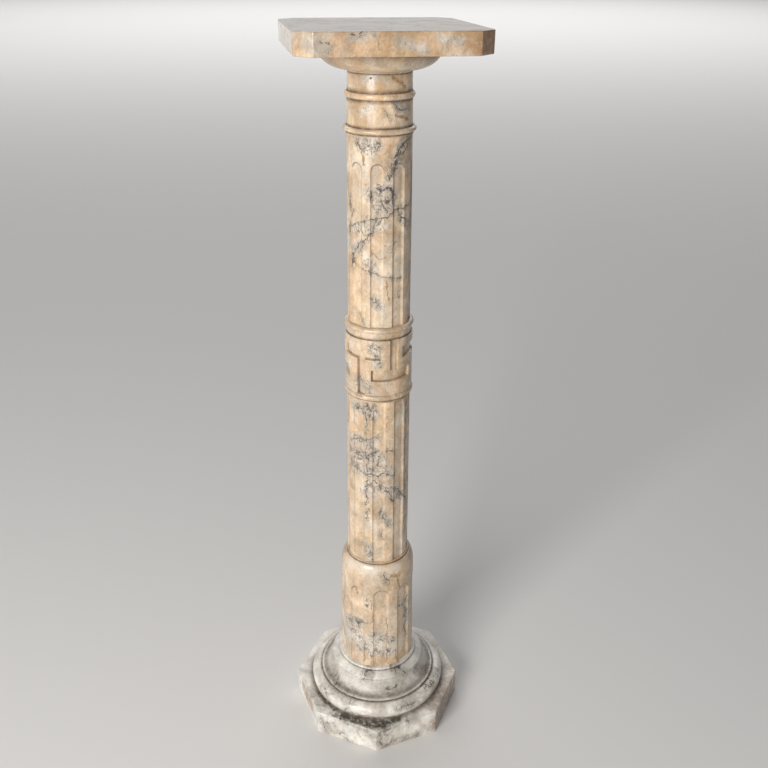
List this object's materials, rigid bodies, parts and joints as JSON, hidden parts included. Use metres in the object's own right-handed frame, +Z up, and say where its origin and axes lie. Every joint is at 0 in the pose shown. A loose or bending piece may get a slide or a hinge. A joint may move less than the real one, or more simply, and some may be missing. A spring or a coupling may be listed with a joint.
{
  "type": "marble pedestal",
  "caption": "Tall marble pedestal: octagonal plinth, turned base, fluted drum and shaft with a fret collar and rings, and a square top slab with cut corners.",
  "frame": {"origin": "centre of the underside", "axes": "+Z up along the shaft; X and Y are square to the sides of the top slab"},
  "size_m": [0.2706, 0.2706, 1.09],
  "materials": {
    "plinth_stone": "polished off-white to beige marble with brown veins",
    "base_stone": "polished grey-taupe marble with dark smudges",
    "shaft_stone": "polished cream and honey marble with dark branching veins",
    "slab_stone": "polished tan and grey marble"
  },
  "bodies": {
    "root": {"plinth": "plinth_stone", "base_moulding": "base_stone", "drum": "shaft_stone", "lower_shaft": "shaft_stone", "key_collar": "shaft_stone", "upper_shaft": "shaft_stone", "neck": "shaft_stone", "capital": "shaft_stone", "top_slab": "slab_stone"}
  },
  "joints": []
}
